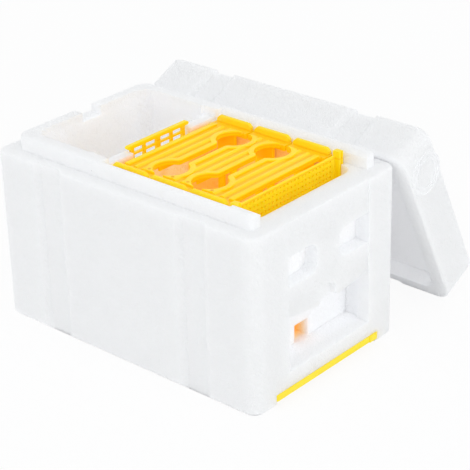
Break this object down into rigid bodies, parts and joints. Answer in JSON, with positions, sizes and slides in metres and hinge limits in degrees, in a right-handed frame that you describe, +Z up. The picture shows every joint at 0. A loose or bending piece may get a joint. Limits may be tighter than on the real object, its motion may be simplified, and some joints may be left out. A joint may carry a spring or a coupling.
{
  "type": "queen mating nuc box",
  "caption": "Small foam mating hive for a queen bee, with feeder, hanging frames, excluder grille, vent plate, sliding floor and a loose lid leaning on its side.",
  "frame": {"origin": "middle of the foam box's base, on the ground", "axes": "+X from the feeder towards the entrance, +Y towards the side where the lid leans, +Z up"},
  "size_m": [0.2668, 0.2659, 0.1603],
  "materials": {
    "foam": "expanded polystyrene, fine beads, white",
    "yellow_plastic": "moulded polypropylene, satin",
    "floor_plastic": "moulded polypropylene, satin, paler yellow"
  },
  "bodies": {
    "box": {"body": "foam"},
    "lid": {"lid": "foam"},
    "grille": {"excluder_grille": "yellow_plastic"},
    "vent": {"vent_plate": "yellow_plastic"},
    "floor": {"floor_slider": "floor_plastic"},
    "frame_1": {"top_bar_1": "yellow_plastic", "comb_frame_1": "yellow_plastic"},
    "frame_2": {"top_bar_2": "yellow_plastic", "comb_frame_2": "yellow_plastic"},
    "frame_3": {"top_bar_3": "yellow_plastic", "comb_frame_3": "yellow_plastic"}
  },
  "joints": [
    {"name": "lid_lift", "type": "slide", "parent": "box", "child": "lid", "axis": [0, 0, 1], "range_m": [0, 0.16]},
    {"name": "grille_lift", "type": "slide", "parent": "box", "child": "grille", "axis": [0, 0, 1], "range_m": [0, 0.065]},
    {"name": "vent_lift", "type": "slide", "parent": "box", "child": "vent", "axis": [0, 0, 1], "range_m": [0, 0.065]},
    {"name": "floor_slide", "type": "slide", "parent": "box", "child": "floor", "axis": [1, 0, 0], "range_m": [0, 0.18]},
    {"name": "frame_1_lift", "type": "slide", "parent": "box", "child": "frame_1", "axis": [0, 0, 1], "range_m": [0, 0.14]},
    {"name": "frame_2_lift", "type": "slide", "parent": "box", "child": "frame_2", "axis": [0, 0, 1], "range_m": [0, 0.14]},
    {"name": "frame_3_lift", "type": "slide", "parent": "box", "child": "frame_3", "axis": [0, 0, 1], "range_m": [0, 0.14]}
  ]
}
